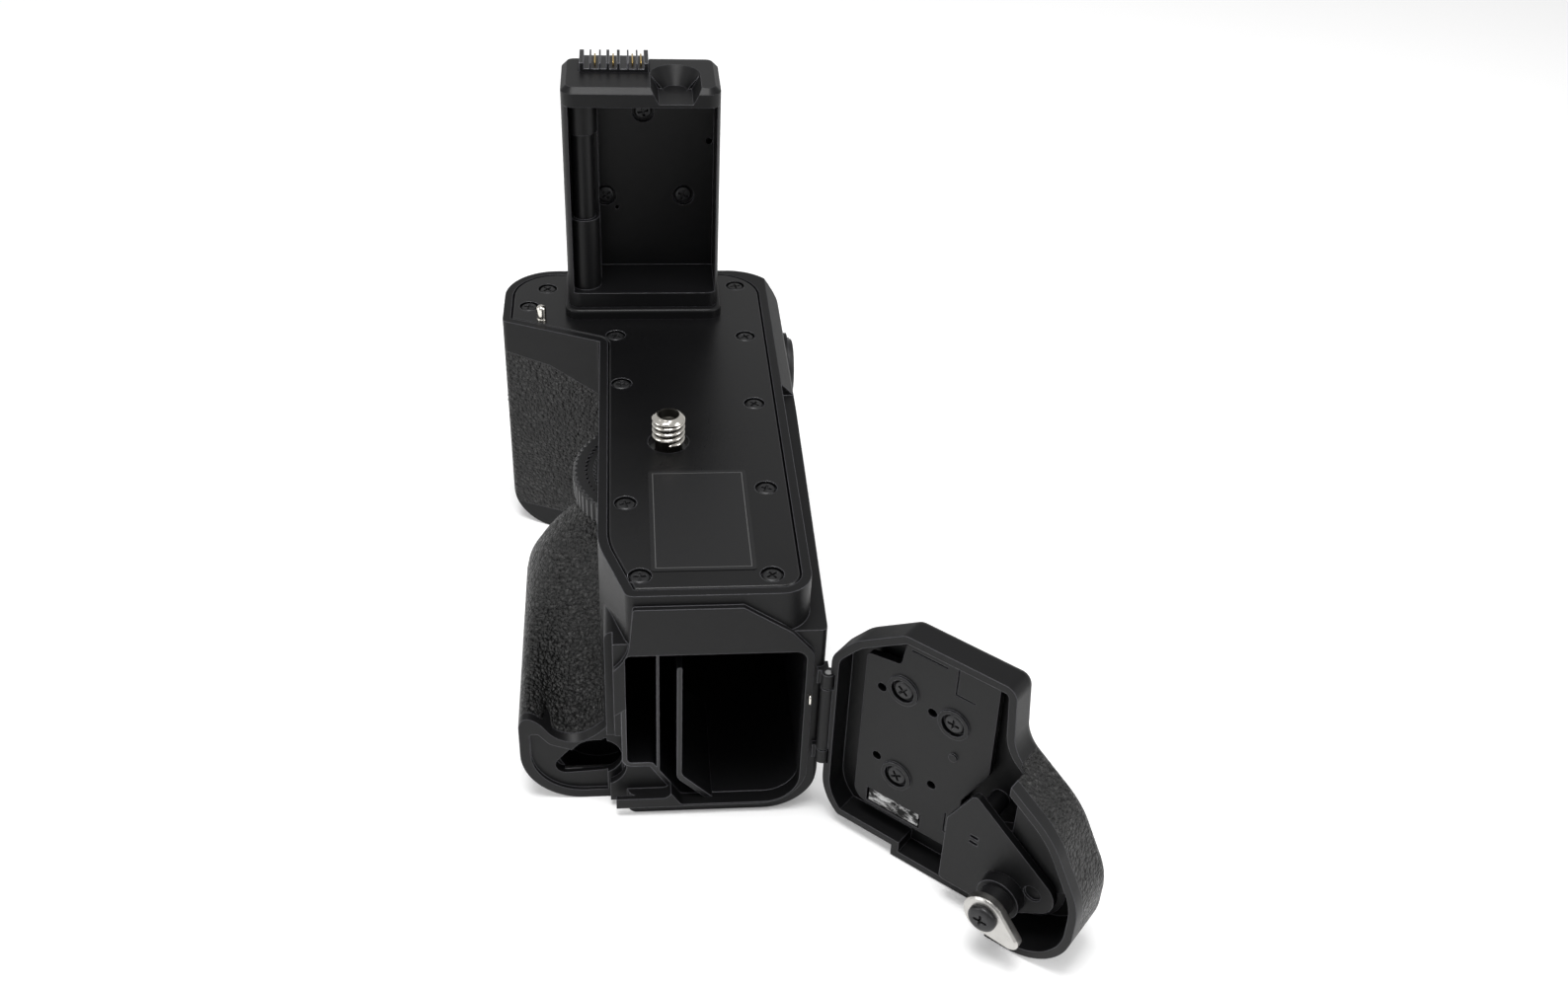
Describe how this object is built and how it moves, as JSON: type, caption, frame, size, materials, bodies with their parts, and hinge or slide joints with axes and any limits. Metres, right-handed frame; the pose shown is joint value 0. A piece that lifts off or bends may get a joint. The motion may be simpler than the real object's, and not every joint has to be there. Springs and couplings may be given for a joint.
{
  "type": "camera battery grip",
  "caption": "Vertical camera battery grip with a battery shaped plug, a captive tripod screw, hand grips in leatherette and a hinged battery door standing open.",
  "frame": {"origin": "axis of the tripod screw in the plane of the deck", "axes": "+X towards the battery door, -Y towards the lens side, +Z out of the deck towards the camera body"},
  "size_m": [0.1576, 0.1053, 0.1044],
  "materials": {
    "body_plastic": "fine matt moulding",
    "leatherette": "pebbled rubbery leatherette",
    "deck_plastic": "fine satin grain",
    "black_screw": "black zinc, slightly glossy",
    "label_film": "bare satin film",
    "nickel": "bright nickel plating",
    "steel": "plain steel",
    "cast_alloy": "polished die casting",
    "contact_gold": "gold flashed contacts",
    "board_green": "circuit board with lacquer",
    "control_plastic": "satin moulding",
    "pad_rubber": "fine ribbed rubber"
  },
  "bodies": {
    "grip": {"main_housing": "body_plastic", "front_leather": "leatherette", "deck_plate": "deck_plastic", "deck_screws": "black_screw", "label_plate": "label_film", "locating_pin": "nickel", "screw_bearing": "steel", "plug_cradle": "body_plastic", "plug_screws": "black_screw", "plug_collar": "body_plastic", "plug_cap": "body_plastic", "terminal_block": "body_plastic", "terminal_contacts": "contact_gold", "bay_liner": "body_plastic", "bay_guide": "body_plastic", "bay_contact_block": "body_plastic", "bay_contacts": "contact_gold", "main_board": "board_green", "control_board": "board_green", "board_screws": "black_screw", "bottom_cover": "deck_plastic", "cover_screws": "black_screw", "tripod_socket": "steel", "rear_pad": "pad_rubber", "front_dial_axle": "steel", "rear_dial_axle": "steel", "hinge_pin": "steel", "hinge_clip": "nickel", "latch_catch": "steel"},
    "tie_down": {"tripod_screw": "nickel", "attachment_wheel": "control_plastic"},
    "power_switch": {"power_switch": "control_plastic"},
    "shutter_button": {"shutter_button": "control_plastic"},
    "front_dial": {"front_dial": "control_plastic"},
    "rear_dial": {"rear_dial": "control_plastic"},
    "focus_lever": {"focus_lever": "control_plastic"},
    "focus_button": {"focus_button": "control_plastic"},
    "rear_custom_button": {"rear_custom_button": "control_plastic"},
    "end_custom_button": {"end_custom_button": "control_plastic"},
    "battery_door": {"door_shell": "body_plastic", "door_leather": "leatherette", "door_plate": "deck_plastic", "door_plate_screws": "black_screw", "door_leaf": "steel", "latch_bracket": "body_plastic"},
    "door_latch": {"latch_knob": "control_plastic", "latch_cam": "cast_alloy", "latch_screw": "black_screw"}
  },
  "joints": [
    {"name": "attachment_wheel_turn", "type": "hinge", "parent": "grip", "child": "tie_down", "pos_m": [0, 0, -0.0082], "axis": [0, 0, 1], "continuous": true},
    {"name": "power_switch_turn", "type": "hinge", "parent": "grip", "child": "power_switch", "pos_m": [-0.0675, -0.019, -0.027], "axis": [1, 0, 0], "range_deg": [0, 28]},
    {"name": "shutter_press", "type": "slide", "parent": "grip", "child": "shutter_button", "axis": [1, 0, 0], "range_m": [0, 0.0011], "stiffness_N_per_m": 600},
    {"name": "front_dial_turn", "type": "hinge", "parent": "grip", "child": "front_dial", "pos_m": [-0.0598, -0.0257, -0.027], "axis": [1, 0, 0], "continuous": true},
    {"name": "rear_dial_turn", "type": "hinge", "parent": "grip", "child": "rear_dial", "pos_m": [-0.0598, 0.0179, -0.034], "axis": [1, 0, 0], "continuous": true},
    {"name": "focus_lever_turn", "type": "hinge", "parent": "grip", "child": "focus_lever", "pos_m": [-0.051, 0.0278, -0.015], "axis": [0, 1, 0], "range_deg": [0, 30]},
    {"name": "focus_button_press", "type": "slide", "parent": "grip", "child": "focus_button", "axis": [0, -1, 0], "range_m": [0, 0.0008], "stiffness_N_per_m": 800},
    {"name": "rear_custom_press", "type": "slide", "parent": "grip", "child": "rear_custom_button", "axis": [0, -1, 0], "range_m": [0, 0.0008], "stiffness_N_per_m": 800},
    {"name": "end_custom_press", "type": "slide", "parent": "grip", "child": "end_custom_button", "axis": [1, 0, 0], "range_m": [0, 0.0008], "stiffness_N_per_m": 800},
    {"name": "door_hinge", "type": "hinge", "parent": "grip", "child": "battery_door", "pos_m": [0.0472, 0.0264, -0.0274], "axis": [0, 0, 1], "range_deg": [-138.5, 6]},
    {"name": "latch_turn", "type": "hinge", "parent": "battery_door", "child": "door_latch", "pos_m": [0.07562, 0.0552, -0.0415], "axis": [-0.749, 0.6626, 0], "range_deg": [0, 90]}
  ]
}
